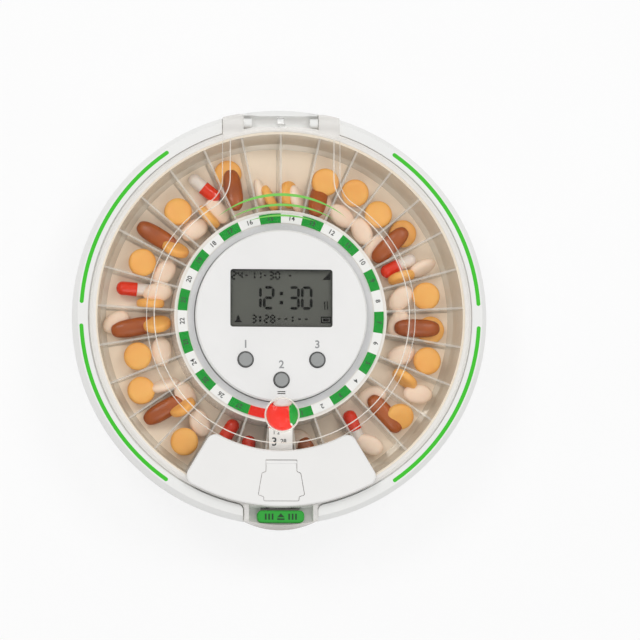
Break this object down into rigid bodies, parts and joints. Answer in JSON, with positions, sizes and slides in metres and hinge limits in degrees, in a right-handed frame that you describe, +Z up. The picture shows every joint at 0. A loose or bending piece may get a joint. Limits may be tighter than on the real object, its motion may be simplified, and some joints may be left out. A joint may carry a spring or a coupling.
{
  "type": "automatic pill dispenser",
  "caption": "Round table-top pill dispenser: clear hinged lid over a motor-turned tray of wedge cells round a console with display and keys; a lid door lets the dose out.",
  "frame": {"origin": "centre of the base's round outline, on the surface that the feet stand on", "axes": "+Z up, the thinnest way; +Y towards the lid's hinge, -Y towards the latch; +X to the right of a user who stands at the latch"},
  "size_m": [0.22, 0.2229, 0.0615],
  "materials": {
    "white_shell": "satin white moulding",
    "green_trim": "bright green inlay",
    "console_white": "satin white moulding",
    "clear_lid": "clear polished",
    "clear_lens": "clear polished",
    "clear_window": "clear polished",
    "tray_clear": "faintly milky clear",
    "label_paper": "printed label",
    "green_button": "satin",
    "grey_key": "satin",
    "display_grey": "smooth",
    "connector_rubber": "matt",
    "foot_rubber": "matt",
    "board_green": "solder resist",
    "black_plastic": "matt",
    "gear_plastic": "satin",
    "motor_can": "satin",
    "steel": "satin",
    "nickel": "bright",
    "battery_jacket": "printed jacket, plain"
  },
  "bodies": {
    "base": {"base_shell": "white_shell", "rim_stripes": "green_trim", "bottom_cover": "white_shell", "cover_screws": "steel", "feet": "foot_rubber", "batteries": "battery_jacket", "battery_contacts": "nickel", "contact_springs": "nickel", "gear_pin": "steel", "gear_plate": "steel", "motor": "motor_can", "index_sensor": "black_plastic", "console_cover": "console_white", "display_window": "clear_window", "display_module": "display_grey", "display_connectors": "connector_rubber", "main_board": "board_green", "board_screws": "steel", "speaker": "black_plastic", "radio_module": "board_green", "board_chips": "black_plastic", "key_domes": "connector_rubber", "alarm_light": "clear_window", "hinge_pins": "steel", "catch_plate": "nickel", "button_spring": "nickel"},
    "lid": {"lid_shell": "clear_lid", "magnifier": "clear_lens", "dispensing_plate": "white_shell", "door_pin": "steel", "lid_hook": "clear_lid"},
    "dose_door": {"dose_door": "white_shell"},
    "tray": {"tray_floor": "tray_clear", "tray_outer_wall": "tray_clear", "tray_hub": "tray_clear", "tray_dividers": "tray_clear", "label_ring": "label_paper"},
    "drive_gear": {"drive_gear": "gear_plastic"},
    "motor_rotor": {"motor_pinion": "gear_plastic", "motor_shaft": "steel"},
    "latch_button": {"latch_button": "green_button"},
    "left_key": {"left_key": "grey_key"},
    "middle_key": {"middle_key": "grey_key"},
    "right_key": {"right_key": "grey_key"},
    "battery_door": {"battery_door": "white_shell"}
  },
  "joints": [
    {"name": "lid_hinge", "type": "hinge", "parent": "base", "child": "lid", "pos_m": [0, 0.103, 0.048], "axis": [-1, 0, 0], "range_deg": [0, 92], "deforming": ["lid_hook"]},
    {"name": "dose_door_hinge", "type": "hinge", "parent": "lid", "child": "dose_door", "pos_m": [0, -0.0774, 0.0542], "axis": [-1, 0, 0], "range_deg": [0, 110]},
    {"name": "tray_spin", "type": "hinge", "parent": "base", "child": "tray", "pos_m": [0, 0, 0.025], "axis": [0, 0, 1], "continuous": true},
    {"name": "drive_gear_spin", "type": "hinge", "parent": "base", "child": "drive_gear", "pos_m": [-0.03994, 0, 0.0256], "axis": [0, 0, 1], "continuous": true},
    {"name": "motor_spin", "type": "hinge", "parent": "base", "child": "motor_rotor", "pos_m": [-0.02419, 0, 0.0256], "axis": [0, 0, 1], "continuous": true},
    {"name": "latch_press", "type": "slide", "parent": "base", "child": "latch_button", "axis": [0, 0, -1], "range_m": [0, 0.002], "stiffness_N_per_m": 900, "springref_m": -0.001, "deforming": ["lid_hook", "button_spring"]},
    {"name": "left_key_press", "type": "slide", "parent": "base", "child": "left_key", "axis": [0, 0, -1], "range_m": [0, 0.0006], "stiffness_N_per_m": 1200, "springref_m": -0.0004, "deforming": ["key_domes"]},
    {"name": "middle_key_press", "type": "slide", "parent": "base", "child": "middle_key", "axis": [0, 0, -1], "range_m": [0, 0.0006], "stiffness_N_per_m": 1200, "springref_m": -0.0004, "deforming": ["key_domes"]},
    {"name": "right_key_press", "type": "slide", "parent": "base", "child": "right_key", "axis": [0, 0, -1], "range_m": [0, 0.0006], "stiffness_N_per_m": 1200, "springref_m": -0.0004, "deforming": ["key_domes"]},
    {"name": "battery_door_hinge", "type": "hinge", "parent": "base", "child": "battery_door", "pos_m": [0, -0.0254, 0.0032], "axis": [-1, 0, 0], "range_deg": [0, 80]}
  ],
  "couplings": [
    {"joint": "drive_gear_spin", "follows": "tray_spin", "ratio": 5.4375},
    {"joint": "motor_spin", "follows": "tray_spin", "ratio": -7.25}
  ]
}
